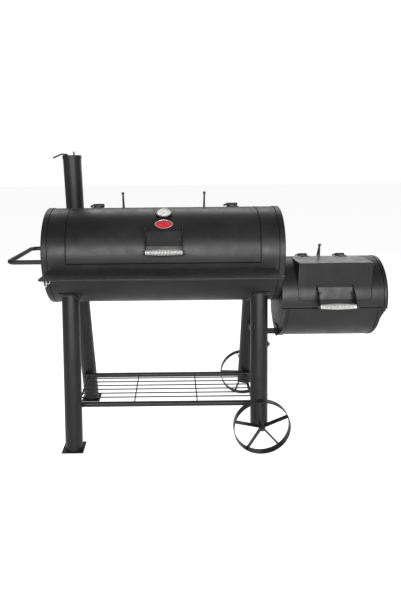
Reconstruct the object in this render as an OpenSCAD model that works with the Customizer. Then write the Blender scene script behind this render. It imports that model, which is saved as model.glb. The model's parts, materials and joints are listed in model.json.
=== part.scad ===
// Offset charcoal smoker: a barrel grill on four splayed legs with a side firebox.
// X runs along the barrel to the firebox, Y to the back, Z up from the floor. Millimetres.

/* [Barrel] */
// Outside diameter of the main barrel
barrel_d = 485; // [400:5:560]
// Length of the main barrel over its end caps
barrel_len = 1174; // [1000:10:1300]
// Height of the barrel axis above the floor
axis_h = 960; // [900:10:1000]
// Thickness of the rolled sheet
wall = 2; // [1.5:0.5:3]
// Width of the end cap flange that sleeves over the barrel
cap_flange = 28; // [20:1:40]
// Half the length of the main lid
lid_half = 468; // [400:1:500]
// Elevation of the rear edge of the main lid, from the front over the top
lid_rear = 103; // [98:1:106]
// Largest opening angle of the main lid
lid_open = 112; // [90:1:114]
// Largest opening angle of the firebox lid
fire_open = 110; // [90:1:112]

/* [Stack] */
// Outside diameter of the smoke stack
stack_d = 95; // [80:1:100]
// Height of the stack top above the floor
stack_top = 1462; // [1350:1:1500]
// Position of the stack along the barrel
stack_x = -485; // [-500:1:-460]
// Distance of the stack behind the barrel axis
stack_y = 173; // [172:1:185]

/* [Legs and wheels] */
// Outside diameter of the leg tubes
leg_d = 89; // [60:1:92]
// Position of the left legs along the barrel
leg_left = -478; // [-500:1:-440]
// Position of the right legs along the barrel
leg_right = 483; // [440:1:500]
// Distance of each leg from the middle plane at the floor
leg_foot_y = 297.5; // [250:0.5:320]
// Distance of each leg from the middle plane where it meets the barrel
leg_top_y = 133; // [110:1:150]
// Height of that upper point above the floor
leg_top_z = 764; // [740:1:780]
// Edge length of the square foot plates
foot_w = 110; // [90:1:130]
// Outside diameter of the wheels
wheel_d = 285; // [240:1:300]
// Width of the flat wheel rim
wheel_w = 40; // [20:1:50]
// Distance of each wheel from the middle plane
wheel_y = 355; // [350:1:370]
// Height of the rack tubes above the floor
rack_z = 197; // [150:1:300]

/* [Shelf and pull handle] */
// Left end of the front shelf
shelf_left = -553; // [-560:1:-450]
// Right end of the front shelf
shelf_right = 543; // [450:1:560]
// Distance of the shelf front edge from the barrel axis
shelf_front = 453; // [380:1:500]
// Drop of the shelf top below the barrel axis
shelf_drop = 31; // [20:1:60]
// Distance of the pull handle grip from the middle of the barrel
pull_x = 750; // [700:1:800]
// Half the spread of the pull handle
pull_y = 220; // [150:1:225]

/* [Firebox] */
// Outside diameter of the upper firebox shell
fire_d = 435; // [400:1:450]
// Outside diameter of the sliding ash drawer
drawer_d = 404; // [380:1:406]
// Height of the firebox axis above the floor
fire_h = 724; // [700:1:740]
// Right end of the upper firebox shell
fire_x1 = 1112; // [1000:1:1200]
// Right end of the ash drawer
drawer_x1 = 1092; // [980:1:1095]
// Left edge of the firebox lid
door_x0 = 665; // [630:1:700]
// Right edge of the firebox lid
door_x1 = 1031; // [950:1:1040]
// Distance of the flat front of the lid hood from the firebox axis
hood_y = 191; // [180:1:200]
// Distance the ash drawer slides out
drawer_out = 380; // [200:10:420]

/* [Handles and dial] */
// Half the width of the spring grips
grip_half = 87; // [60:1:100]
// Stand-off of each grip from the sheet behind it
grip_off = 52; // [40:1:70]
// Diameter of the thermometer bezel
dial_d = 83; // [60:1:100]
// Elevation of the thermometer on the lid
dial_e = 62; // [55:1:75]
// Position of the grip, dial and plate along the lid
lid_mid = 3.5; // [-10:0.5:10]
// Elevation of the name plate on the lid
plate_e = 46.5; // [44:0.5:50]

/* [Hidden] */
$fn = 96;
br = barrel_d / 2;
bx = barrel_len / 2;
bi = br - wall;
fr = fire_d / 2;
fi = fr - wall;
dr = drawer_d / 2;
gap = 1;
leg_r = leg_d / 2;
leg_slope = (leg_foot_y - leg_top_y) / leg_top_z;
wheel_r = wheel_d / 2;
axle_r = 6;
axle_end = wheel_y + 35;
hinge_y = 72;
hinge_z = 250;
fhinge_y = 58.6;
fhinge_z = 218.9;
// Middle between the two firebox hinges
fhinge_x = 841;
saddle_t = 4;
foot_t = 5;
rack_y = 195.3;
rack_r = 14;
drawer_x0 = bx + 20;
drawer_top = -6;
door_mid = (door_x0 + door_x1) / 2;
hood_low = sqrt(fr * fr - hood_y * hood_y);
pull_r = 11;
bend_r = 35;
stop_r = 4.5;
// Places of the two main hinges along the barrel
hinge_xs = [-340, 357];
// Height of the pull handle over the barrel axis
pull_z = 5;
rod_r = 6;
grip_r = 15;
fin_t = 2.5;
fin_half = grip_half + 0.6 + fin_t;
brace_z = 532;
// Height of the bolt heads on the right legs
bolt_z = 522;
vent_z = fire_h + 105;
pass_z = 850;
pass_r = 78;
dhandle_x = drawer_x1 + 57;
// How far the dial stands off the lid sheet
dial_off = 12;
dhandle_z = 672;
x_min = -(pull_x + pull_r);
x_max = dhandle_x + grip_r;
x_mid = (x_min + x_max) / 2;
y_mid = (axle_end - shelf_front) / 2;
pivot_y = stack_y + stack_d / 2 + 12;

// Cylinder along X between two stations.
module xcyl(r, x0, x1, y = 0, z = 0) {
    translate([x0, y, z]) rotate([0, 90, 0]) cylinder(r = r, h = x1 - x0);
}

// Cylinder along Y between two stations.
module ycyl(r, x, y0, y1, z) {
    translate([x, y0, z]) rotate([-90, 0, 0]) cylinder(r = r, h = y1 - y0);
}

// Box between two corners.
module block(a, b) {
    translate(a) cube(b - a);
}

// Round rod between two points.
module rod(p, q, r) {
    d = q - p;
    n = norm(d);
    translate(p) rotate([0, acos(d[2] / n), atan2(d[1], d[0])]) cylinder(r = r, h = n);
}

// Curved plate about the X axis; elevation 0 is the front, 90 the top, 180 the back.
module arc_plate(r0, r1, e0, e1, x0, x1) {
    translate([x0, 0, 0]) rotate([-90, 0, 0]) rotate([0, 90, 0]) rotate([0, 0, -e1])
        rotate_extrude(angle = e1 - e0) translate([r0, 0]) square([r1 - r0, x1 - x0]);
}

// Moves to a spot on a drum: Z becomes the outward radial direction.
module on_drum(e, r) {
    rotate([90 - e, 0, 0]) translate([0, 0, r]) children();
}

// Brings a shape drawn about the barrel axis to its place.
module at_barrel() {
    translate([-x_mid, -y_mid, axis_h]) children();
}

// Brings a shape drawn about the firebox axis to its place.
module at_firebox() {
    translate([-x_mid, -y_mid, fire_h]) children();
}

// Brings a shape drawn from the floor to its place.
module at_floor() {
    translate([-x_mid, -y_mid, 0]) children();
}

function polar(r, e) = [-r * cos(e), r * sin(e)];

// ---- barrel ----

module barrel_shell() color("dimgray") at_barrel() difference() {
    xcyl(br, -bx + wall, bx - wall);
    xcyl(bi, -bx, bx);
    arc_plate(br - 20, br + 20, 0, lid_rear, -lid_half - 2, lid_half + 2);
    translate([stack_x, stack_y, 0]) cylinder(r = stack_d / 2 - wall, h = br + 50);
}

// Rest strip inside the lid opening, a little below the lid sheet.
module lid_lip() color("dimgray") at_barrel() difference() {
    lr = bi - 0.6;
    arc_plate(lr - 3, bi, -3, lid_rear + 3, -lid_half - 14, lid_half + 14);
    arc_plate(lr - 20, bi + 5, 2.5, lid_rear - 2.5, -lid_half + 12, lid_half - 12);
    arc_plate(lr, bi + 5, -0.3, lid_rear + 0.3, -lid_half - 3, lid_half + 3);
}

// Dished end with a flange over the barrel and a softened rim.
module cap_solid() {
    translate([bx - cap_flange, 0, 0]) rotate([0, 90, 0]) rotate_extrude()
        polygon([[0, cap_flange], [br - 3, cap_flange], [br + 2, cap_flange - 5],
            [br + 2, 0], [br, 0], [br, cap_flange - wall], [0, cap_flange - wall]]);
}

module end_cap_left() color("dimgray") at_barrel() mirror([1, 0, 0]) cap_solid();

module end_cap_right() color("dimgray") at_barrel() difference() {
    cap_solid();
    xcyl(pass_r, bx - 10, bx + 10, 0, pass_z - axis_h);
}

module smoke_stack() color("dimgray") at_barrel() difference() {
    union() {
        translate([stack_x, stack_y, 60]) cylinder(r = stack_d / 2, h = stack_top - axis_h - 60);
        translate([stack_x, pivot_y, stack_top - axis_h - 34]) cylinder(r = 9, h = 34);
        translate([stack_x, pivot_y, stack_top - axis_h - 2]) cylinder(r = 4, h = 26);
        block([stack_x - 6, stack_y + 40, stack_top - axis_h - 34],
            [stack_x + 6, pivot_y, stack_top - axis_h - 18]);
    }
    translate([stack_x, stack_y, 0]) cylinder(r = stack_d / 2 - wall, h = 700);
    xcyl(br, -bx, bx);
}

module stack_collar() color("dimgray") at_barrel()
    translate([stack_x, stack_y, stack_top - axis_h - 15]) difference() {
        cylinder(r = stack_d / 2 + 2.2, h = 14);
        translate([0, 0, -1]) cylinder(r = stack_d / 2, h = 20);
        translate([-12, stack_d / 2 - 3, -1]) cube([24, 20, 20]);
    }

// ---- shelf and handle ----

module shelf() color("dimgray") at_barrel() difference() {
    union() {
        block([shelf_left + 5, -shelf_front + 5, -shelf_drop - 2],
            [shelf_right - 5, -br + 40, -shelf_drop]);
        xcyl(5, shelf_left + 5, shelf_right - 5, -shelf_front + 5, -shelf_drop - 5);
        for (x = [shelf_left + 5, shelf_right - 5]) {
            ycyl(5, x, -shelf_front + 5, -br - 1, -shelf_drop - 5);
            translate([x, -shelf_front + 5, -shelf_drop - 5]) sphere(r = 5);
        }
    }
    xcyl(br, -bx, bx);
}

module shelf_brackets() color("dimgray") at_barrel() difference() {
    for (s = [-1, 1]) for (d = [-24, 21]) translate([s * 498 + d, 0, -shelf_drop - 2])
        rotate([90, 0, 90]) linear_extrude(3)
            polygon([[-br + 30, 0], [-br - 150, 0], [-br - 150, -9], [-br + 30, -62]]);
    xcyl(br, -bx, bx);
}

// Bent wire hooks that hang under the left end of the shelf.
module tool_hooks() color("silver") at_barrel()
    for (y = [-424, -354, -284]) translate([shelf_left + 13, y, -shelf_drop - 2]) {
        translate([0, 0, -46]) cylinder(r = 2, h = 46);
        translate([-9, 0, -46]) rotate([-90, 0, 0]) rotate_extrude(angle = 180)
            translate([9, 0]) circle(r = 2, $fn = 24);
        translate([-18, 0, -46]) cylinder(r = 2, h = 14);
    }

module pull_handle() color("dimgray") at_barrel() translate([0, 0, pull_z]) {
    xg = -pull_x;
    for (s = [-1, 1]) xcyl(pull_r, xg + bend_r, -bx, s * pull_y, 0);
    ycyl(pull_r, xg, -pull_y + bend_r, pull_y - bend_r, 0);
    translate([xg + bend_r, -pull_y + bend_r, 0]) rotate([0, 0, 180])
        rotate_extrude(angle = 90) translate([bend_r, 0]) circle(r = pull_r);
    translate([xg + bend_r, pull_y - bend_r, 0]) rotate([0, 0, 90])
        rotate_extrude(angle = 90) translate([bend_r, 0]) circle(r = pull_r);
}

// ---- legs, rack and wheels ----

// Leg tube on the front side (side = -1) or the rear side (side = 1).
module leg_solid(x, side, r, z0, z1) {
    rod([x, side * (leg_foot_y - leg_slope * z0), z0], [x, side * (leg_foot_y - leg_slope * z1), z1], r);
}

module leg_tube(x, side, low) {
    difference() {
        leg_solid(x, side, leg_r, -40, leg_top_z + 60);
        leg_solid(x, side, leg_r - 2.5, -60, leg_top_z + 80);
        xcyl(br + saddle_t, x - 100, x + 100, 0, axis_h);
        block([x - 100, -500, -100], [x + 100, 500, low]);
        if (x > 0) ycyl(axle_r + 0.1, x, -500, 500, wheel_r);
    }
}

module leg_front_left() color("dimgray") at_floor() leg_tube(leg_left, -1, foot_t);
module leg_rear_left() color("dimgray") at_floor() leg_tube(leg_left, 1, foot_t);
module leg_front_right() color("dimgray") at_floor() leg_tube(leg_right, -1, wheel_r - 22);
module leg_rear_right() color("dimgray") at_floor() leg_tube(leg_right, 1, wheel_r - 22);

module leg_saddles() color("dimgray") at_barrel() for (x = [leg_left, leg_right])
    arc_plate(br, br + saddle_t, 222, 318, x - 50, x + 50);

module foot_plate(side) {
    block([leg_left - foot_w / 2, side * leg_foot_y - foot_w / 2, 0],
        [leg_left + foot_w / 2, side * leg_foot_y + foot_w / 2, foot_t]);
}

module foot_front_left() color("dimgray") at_floor() foot_plate(-1);
module foot_rear_left() color("dimgray") at_floor() foot_plate(1);

module rack_tube(side) difference() {
    xcyl(rack_r, leg_left - 20, leg_right + 20, side * rack_y, rack_z);
    xcyl(rack_r - 1.5, leg_left - 30, leg_right + 30, side * rack_y, rack_z);
}

module rack_tube_front() color("dimgray") at_floor() rack_tube(-1);
module rack_tube_rear() color("dimgray") at_floor() rack_tube(1);

module rack_wires() color("dimgray") at_floor() difference() {
    union() {
        for (k = [-2.5:1:2.5]) xcyl(3.5, leg_left + 10, leg_right - 10, k * 51, rack_z + 8);
        for (x = [-167, 167]) ycyl(3.5, x, -rack_y, rack_y, rack_z + 3);
        for (x = [leg_left + 14, leg_right - 14]) ycyl(5, x, -rack_y, rack_y, rack_z + 2);
    }
    for (s = [-1, 1]) xcyl(rack_r, leg_left - 20, leg_right + 20, s * rack_y, rack_z);
}

module axle() color("gray") at_floor() {
    ycyl(axle_r, leg_right, -axle_end, axle_end, wheel_r);
    for (s = [0, 1]) mirror([0, s, 0]) {
        translate([leg_right, -axle_end + 4, wheel_r]) rotate([-90, 0, 0]) cylinder(r = 11, h = 8, $fn = 6);
    }
}

module wheel(side, turn) translate([leg_right, side * wheel_y, wheel_r]) rotate([0, -turn, 0]) {
    difference() {
        ycyl(wheel_r, 0, -wheel_w / 2, wheel_w / 2, 0);
        ycyl(wheel_r - 4, 0, -wheel_w, wheel_w, 0);
    }
    difference() {
        ycyl(15, 0, -22, 22, 0);
        ycyl(axle_r + 0.05, 0, -40, 40, 0);
    }
    difference() {
        for (k = [0:4]) rotate([0, k * 72, 0]) block([14, -14, -2.5], [wheel_r - 1, 14, 2.5]);
        difference() {
            ycyl(wheel_r + 20, 0, -40, 40, 0);
            ycyl(wheel_r - 4, 0, -50, 50, 0);
        }
    }
}

module wheel_front() color("gray") at_floor() wheel(-1, 24);
module wheel_rear() color("gray") at_floor() wheel(1, 34);

// Square tube between the two right legs, coped to them.
module leg_brace() color("dimgray") at_floor() difference() {
    block([leg_right - 12.5, -220, brace_z - 12.5], [leg_right + 12.5, 220, brace_z + 12.5]);
    for (s = [-1, 1]) leg_solid(leg_right, s, leg_r, 300, 700);
    for (s = [-1, 1]) block([leg_right - 50, s * 195 - 30, 400], [leg_right + 50, s * 195 + 30, 700]);
}

// Bolt heads with washers on the outer side of the right legs.
module brace_bolts() color("gray") at_floor() difference() {
    for (s = [-1, 1]) translate([leg_right + 35, s * (leg_foot_y - leg_slope * bolt_z), bolt_z]) {
        rotate([0, 90, 0]) cylinder(r = 15, h = 13);
        rotate([0, 90, 0]) cylinder(r = 9, h = 20, $fn = 6);
    }
    for (s = [-1, 1]) leg_solid(leg_right, s, leg_r, 300, 700);
}

// Arm from the brace that ends in an upright tab and a curved rest under the drawer.
module support_arm() color("dimgray") at_floor() {
    block([leg_right + 12.5, -12.5, brace_z - 12.5], [drawer_x0 - 6, 12.5, brace_z + 12.5]);
    block([drawer_x0 - 6, -34, brace_z - 20], [drawer_x0 - 1.5, 34, brace_z + 38]);
    translate([0, 0, fire_h]) arc_plate(dr + 0.6, dr + 5.6, 259, 281, drawer_x0 - 3, drawer_x0 + 32);
}

// ---- firebox ----

// What stays of a lower corner of the firebox lid opening: a rounding of 22 in short flats.
module corner_round() rotate([90, 0, 0]) linear_extrude(fr)
    polygon([[-1, -20], [-1, 29.6], [0.75, 16.3], [2.95, 11], [6.4, 6.4], [11, 2.95],
        [16.3, 0.75], [29.6, -1], [29.6, -20]]);

// Outline of the lid opening with rounded lower corners, grown by g on every side.
module door_cut(g) difference() {
    arc_plate(fr - 60, fr + 90, 8 - g * 0.27, 100 + g * 0.27, door_x0 - g, door_x1 + g);
    for (s = [0, 1]) translate([door_mid, 0, 0]) mirror([s, 0, 0])
        translate([door_x0 - g - door_mid, -100, 30 - g]) corner_round();
}

// Upper half of the firebox, with a rest strip round its opening and a ledge on each side.
module firebox_shell() color("dimgray") at_firebox() {
    difference() {
        union() {
            arc_plate(fi, fr, -3, 183, bx, fire_x1);
            arc_plate(fi - 3.6, fi + 1, 4, 104, door_x0 - 8, door_x1 + 8);
        }
        arc_plate(fi - 20, fr + 5, 12, 97, door_x0 + 9, door_x1 - 9);
        intersection() {
            door_cut(gap);
            arc_plate(fi - 0.6, fr + 60, 0, 110, door_x0 - 5, door_x1 + 5);
        }
    }
    for (s = [-1, 1])
        block([bx, s * (fr - 7.5) - 6, -10.9], [fire_x1, s * (fr - 7.5) + 6, -8.9]);
}

module half_disc(x0, x1, r) difference() {
    xcyl(r, x0, x1);
    block([x0 - 5, -400, -400], [x1 + 5, 400, drawer_top + 1.5]);
}

module firebox_end_left() color("dimgray") at_firebox() difference() {
    half_disc(bx, bx + wall, fi);
    xcyl(pass_r, bx - 10, bx + 10, 0, pass_z - fire_h);
}

// Right end with three draught holes round a fixed stud.
module firebox_end_right() color("dimgray") at_firebox() {
    difference() {
        half_disc(fire_x1 - wall, fire_x1, fi);
        for (k = [0:2]) translate([0, 0, vent_z - fire_h]) rotate([k * 120, 0, 0])
            xcyl(19, fire_x1 - 10, fire_x1 + 10, 0, 44);
    }
    xcyl(5, fire_x1 - 1, fire_x1 + 6, 0, vent_z - fire_h);
    xcyl(9, fire_x1 + 6, fire_x1 + 9, 0, vent_z - fire_h);
}

// Round plate that turns on the stud to cover or free the draught holes.
module air_damper() color("gray") at_firebox() {
    difference() {
        xcyl(72, fire_x1 + 0.5, fire_x1 + 3, 0, vent_z - fire_h);
        xcyl(5.05, fire_x1 - 1, fire_x1 + 10, 0, vent_z - fire_h);
        for (k = [0:2]) translate([0, 0, vent_z - fire_h]) rotate([k * 120, 0, 0])
            xcyl(19, fire_x1 - 10, fire_x1 + 10, 0, 44);
    }
    translate([0, 0, vent_z - fire_h]) rotate([60, 0, 0]) xcyl(6, fire_x1 + 3, fire_x1 + 26, 0, 58);
}

// Firebox lid: a rolled sheet whose upper front quarter is squared out into a hood.
module firebox_lid() color("dimgray") at_firebox() difference() {
    intersection() {
        union() {
            xcyl(fr, door_x0, door_x1);
            block([door_x0, -hood_y, hood_low], [door_x1, 0, fr]);
        }
        door_cut(0);
    }
    xcyl(fi, door_x0 - 5, door_x1 + 5);
    block([door_x0 + wall, -hood_y + wall, hood_low + 6], [door_x1 - wall, 1, fr - wall]);
}

// Ash drawer: the lower half of the firebox with lips that slide on the shell ledges.
module ash_drawer() color("dimgray") at_firebox() {
    difference() {
        xcyl(dr, drawer_x0, drawer_x1);
        xcyl(dr - wall, drawer_x0 + wall, drawer_x1 - wall);
        block([drawer_x0 - 5, -400, drawer_top], [drawer_x1 + 5, 400, 400]);
    }
    for (s = [-1, 1])
        block([drawer_x0, s * (dr + 5) - 7, drawer_top - wall], [drawer_x1, s * (dr + 5) + 6, drawer_top]);
}

module fire_grate() color("dimgray") at_firebox() {
    for (y = [-168:28:168])
        block([drawer_x0 + 6, y - 3, -100], [drawer_x1 - 6, y + 3, -90]);
    for (x = [drawer_x0 + 40, door_mid - 20, drawer_x1 - 50])
        block([x - 4, -166, -108], [x + 4, 166, -100]);
}

// ---- hinges and stops ----

// Fixed half of a hinge: two knuckles on a leaf behind the lid.
module hinge_base(xc, len, r, ay, az, kr, pr, lt) difference() {
    hr = norm([ay, az]);
    he = atan2(az, -ay);
    union() {
        for (s = [-1, 1]) translate([xc + s * len * 0.36 - len * 0.14, 0, 0]) {
            xcyl(kr, 0, len * 0.28, ay, az);
            rotate([90, 0, 90]) linear_extrude(len * 0.28)
                polygon([polar(r + lt / 2, 108), polar(hr - 2, he), polar(hr + 2, he + 1.2),
                    polar(r + lt / 2, 113)]);
        }
        arc_plate(r, r + lt, 107, 117, xc - len / 2, xc + len / 2);
    }
    xcyl(pr, xc - len, xc + len, ay, az);
}

// Moving half of a hinge: the middle knuckle on a leaf that lies on the lid.
module hinge_leaf(xc, len, r, e0, e1, ay, az, kr, pr, lt) difference() {
    hr = norm([ay, az]);
    he = atan2(az, -ay);
    union() {
        xcyl(kr, xc - len * 0.2, xc + len * 0.2, ay, az);
        translate([xc - len * 0.2, 0, 0]) rotate([90, 0, 90]) linear_extrude(len * 0.4)
            polygon([polar(r + lt / 2, e1 - 3), polar(hr - 1, he - 1.3), polar(hr - 5, he - 0.8),
                polar(r + lt / 2, e1 - 0.5)]);
        arc_plate(r, r + lt, e0, e1, xc - len / 2, xc + len / 2);
    }
    xcyl(pr + 0.05, xc - len, xc + len, ay, az);
}

// Hinge pin with a bent tail at its left end.
module hinge_pin(xc, len, ay, az, pr) {
    xcyl(pr, xc - len / 2 - 5, xc + len / 2 + 3, ay, az);
    rod([xc - len / 2 - 5, ay, az], [xc - len / 2 - 16, ay + 3, az - 6], pr);
    translate([xc - len / 2 - 5, ay, az]) sphere(r = pr);
}

module hinge_bases() color("dimgray") {
    for (x = hinge_xs) at_barrel() hinge_base(x, 54, br, hinge_y, hinge_z, 9, 5, 4);
    for (s = [-1, 1]) at_firebox() hinge_base(fhinge_x + s * 100, 44, fr, fhinge_y, fhinge_z, 7, 4, 3);
}

module hinge_pins() color("gray") {
    for (x = hinge_xs) at_barrel() hinge_pin(x, 54, hinge_y, hinge_z, 5);
    for (s = [-1, 1]) at_firebox() hinge_pin(fhinge_x + s * 100, 44, fhinge_y, fhinge_z, 4);
}

// Wire stop in the form of an inverted V; the open lid rests on its tip.
// The rear foot stands back behind the tip.
module lid_stop(x, r, ay, az, h, open, back) {
    cy = ay - ay * cos(open) - az * sin(open);
    cz = az + ay * sin(open) - az * cos(open);
    ty = cy + sqrt(pow(r + stop_r + 2, 2) - pow(h - cz, 2));
    difference() {
        union() {
            rod([x, ty - 12, az - 40], [x, ty, h], stop_r);
            rod([x, ty + back, az - 60], [x, ty, h], stop_r);
            xcyl(stop_r + 1.5, x - stop_r - 2, x + stop_r + 2, ty, h);
        }
        xcyl(r, x - 50, x + 50);
    }
}

module lid_stops() color("dimgray") {
    for (s = [-1, 1]) at_barrel() lid_stop(s * 214, br, hinge_y, hinge_z, 310, lid_open, 52);
    at_firebox() lid_stop(fhinge_x - 4, fr, fhinge_y, fhinge_z, 266, fire_open, 52);
}

// ---- inside the barrel ----

module cooking_grate(x0, x1) {
    for (x = [x0 + 3:18.43:x1 - 3]) block([x - 3, -226, -54], [x + 3, 226, -47]);
    for (y = [-218, -110, 0, 110, 218]) block([x0, y - 4, -58], [x1, y + 4, -54]);
}

module cooking_grate_left() color("gray") at_barrel() cooking_grate(-561, -2);
module cooking_grate_right() color("gray") at_barrel() cooking_grate(2, 561);

module grate_rails() color("dimgray") at_barrel() intersection() {
    for (s = [-1, 1]) block([-562, s * 225 - 17, -61], [562, s * 225 + 17, -58]);
    xcyl(bi, -bx, bx);
}

module charcoal_tray() color("dimgray") at_barrel() difference() {
    block([-520, -172, -166], [520, 172, -136]);
    block([-518, -170, -164], [518, 170, -100]);
}

// ---- lid, thermometer and plate ----

module lid_shell() color("dimgray") at_barrel() difference() {
    arc_plate(bi, br, 0.4, lid_rear - 0.4, -lid_half, lid_half);
    translate([lid_mid, 0, 0]) on_drum(dial_e, br - 40) cylinder(r = 7, h = 80);
}

module lid_hinge_leaves() color("dimgray") at_barrel() for (x = hinge_xs)
    hinge_leaf(x, 54, br, 89, lid_rear - 0.6, hinge_y, hinge_z, 9, 5, 4);

module firebox_lid_leaves() color("dimgray") at_firebox() for (s = [-1, 1])
    hinge_leaf(fhinge_x + s * 100, 44, fr, 90.3, 99.8, fhinge_y, fhinge_z, 7, 4, 3);

// Brings the dial parts to their place on the lid, at a height over the sheet.
module at_dial(h) at_barrel() translate([lid_mid, 0, 0]) on_drum(dial_e, br + h) children();

module thermometer_case() color("gray") difference() {
    at_dial(-60) {
        cylinder(r = 6.9, h = 64);
        translate([0, 0, 50]) cylinder(r = dial_d / 2 - 5, h = dial_off + 10);
    }
    intersection() {
        at_barrel() xcyl(br, -200, 200);
        at_dial(-70) difference() {
            cylinder(r = 100, h = 100);
            translate([0, 0, -1]) cylinder(r = 6.9, h = 102);
        }
    }
}

module thermometer_bezel() color("silver") at_dial(dial_off) difference() {
    translate([0, 0, -4]) cylinder(r1 = dial_d / 2 - 1, r2 = dial_d / 2, h = 10);
    translate([0, 0, -5]) cylinder(r = dial_d / 2 - 5, h = 8.5);
    translate([0, 0, -5]) cylinder(r = dial_d / 2 - 7, h = 20);
}

module thermometer_dial() color("white") at_dial(dial_off) difference() {
    cylinder(r = dial_d / 2 - 7.5, h = 1);
    translate([0, 0, -1]) cylinder(r = 1.2, h = 5);
}

module thermometer_glass() color("white") at_dial(dial_off + 4)
    cylinder(r = dial_d / 2 - 7.1, h = 1.6);

module thermometer_needle() color("black") at_dial(dial_off) {
    translate([0, 0, 0.2]) cylinder(r = 1.1, h = 2);
    translate([0, 0, 1.6]) cylinder(r = 4, h = 1.4);
    rotate([0, 0, 225]) translate([-10, -1, 1.9]) cube([36, 2, 0.8]);
}

module name_plate() color("firebrick") at_barrel() translate([lid_mid, 0, 0]) intersection() {
    arc_plate(br, br + 1.6, plate_e - 12, plate_e + 12, -80, 80);
    on_drum(plate_e, br - 20) linear_extrude(40) {
        square([62, 58], center = true);
        square([90, 28], center = true);
        for (a = [-1, 1]) for (b = [-1, 1]) translate([a * 31, b * 14]) circle(r = 14);
    }
}

// ---- spring handles ----

// Bent sheet bracket on a drum of radius r; eg is the grip, et the top, ep the plate.
module handle_bracket(r, eg, et, ep0, ep1) {
    gc = polar(r + grip_off, eg);
    difference() {
        for (s = [-1, 1]) translate([s * (fin_half - fin_t / 2) - fin_t / 2, 0, 0])
            rotate([90, 0, 90]) linear_extrude(fin_t) {
            polygon([polar(r - 3, et), polar(r + 4, et), polar(r + 20, et - (et - eg) * 0.25),
                polar(r + 37, et - (et - eg) * 0.5), polar(r + 51, et - (et - eg) * 0.77),
                polar(r + grip_off + 9, eg + 1.5), polar(r + grip_off + 9, eg - 1),
                polar(r + grip_off, eg - 1.2), polar(r + 22, eg + 0.5), polar(r - 3, eg + 3)]);
            translate(gc) circle(r = 10);
        }
        xcyl(r, -200, 200);
        xcyl(rod_r + 0.1, -200, 200, gc[0], gc[1]);
    }
    em = (ep0 + ep1) / 2;
    ph = r * sin((ep1 - ep0) / 2);
    on_drum(em, r) translate([-fin_half + 1, -ph, 0]) cube([2 * fin_half - 2, 2 * ph, 2]);
}

// Spring grip as a plain sleeve, thicker in the middle.
module grip_sleeve() rotate([0, 90, 0]) rotate_extrude()
    polygon([[rod_r + 0.15, -grip_half], [10, -grip_half], [11, -grip_half + 18], [13.6, -grip_half * 0.5],
        [grip_r, -10], [grip_r, 10], [13.6, grip_half * 0.5], [11, grip_half - 18], [10, grip_half],
        [rod_r + 0.15, grip_half]]);

// Rod through the grip with a hexagon nut outside each fin.
module grip_rod() {
    xcyl(rod_r, -fin_half - 11, fin_half + 11);
    for (s = [0, 1]) mirror([s, 0, 0]) translate([fin_half + 0.1, 0, 0]) rotate([0, 90, 0])
        cylinder(r = 10, h = 7, $fn = 6);
}

// Domed bolts that hold the bracket plate.
module plate_bolts(r, em) for (s = [-1, 1])
    on_drum(em, r + 2) translate([s * (fin_half - 14), 0, 0]) intersection() {
        translate([0, 0, -4]) sphere(r = 7.5);
        cylinder(r = 10, h = 10);
    }

module lid_handle_bracket() color("gray") at_barrel() translate([lid_mid, 0, 0])
    handle_bracket(br, 11, 42, 18.8, 35.8);
module lid_handle_grip() color("silver") at_barrel()
    translate([lid_mid, polar(br + grip_off, 11)[0], polar(br + grip_off, 11)[1]]) grip_sleeve();
module lid_handle_rod() color("gray") at_barrel() translate([lid_mid, 0, 0]) {
    translate([0, polar(br + grip_off, 11)[0], polar(br + grip_off, 11)[1]]) grip_rod();
    plate_bolts(br, 27.3);
}

module firebox_handle_bracket() color("gray") at_firebox() translate([door_mid, 0, 0])
    handle_bracket(fr, 3.5, 28.5, 10.5, 26);
module firebox_handle_grip() color("silver") at_firebox()
    translate([door_mid, polar(fr + grip_off, 3.5)[0], polar(fr + grip_off, 3.5)[1]]) grip_sleeve();
module firebox_handle_rod() color("gray") at_firebox() translate([door_mid, 0, 0]) {
    translate([0, polar(fr + grip_off, 3.5)[0], polar(fr + grip_off, 3.5)[1]]) grip_rod();
    plate_bolts(fr, 18.25);
}

module drawer_handle_bracket() color("gray") at_floor() {
    block([drawer_x1, -fin_half + 1, 588], [drawer_x1 + 2, fin_half - 1, 668]);
    for (s = [-1, 1]) translate([0, s * (fin_half - fin_t / 2) + fin_t / 2, 0])
        rotate([90, 0, 0]) linear_extrude(fin_t) difference() {
        union() {
            polygon([[drawer_x1, 588], [drawer_x1 + 5, 588], [drawer_x1 + 40, 620],
                [dhandle_x + 8, dhandle_z - 6], [dhandle_x + 4, dhandle_z + 9],
                [drawer_x1 + 25, dhandle_z + 4], [drawer_x1, dhandle_z - 6]]);
            translate([dhandle_x, dhandle_z]) circle(r = 10);
        }
        translate([dhandle_x, dhandle_z]) circle(r = rod_r + 0.1);
    }
}
module drawer_handle_grip() color("silver") at_floor()
    translate([dhandle_x, 0, dhandle_z]) rotate([0, 0, 90]) grip_sleeve();
module drawer_handle_rod() color("gray") at_floor() {
    translate([dhandle_x, 0, dhandle_z]) rotate([0, 0, 90]) grip_rod();
    for (s = [-1, 1]) translate([drawer_x1 + 2, s * (fin_half - 14), 628]) intersection() {
        translate([-4, 0, 0]) sphere(r = 7.5);
        rotate([0, 90, 0]) cylinder(r = 10, h = 10);
    }
}

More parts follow.
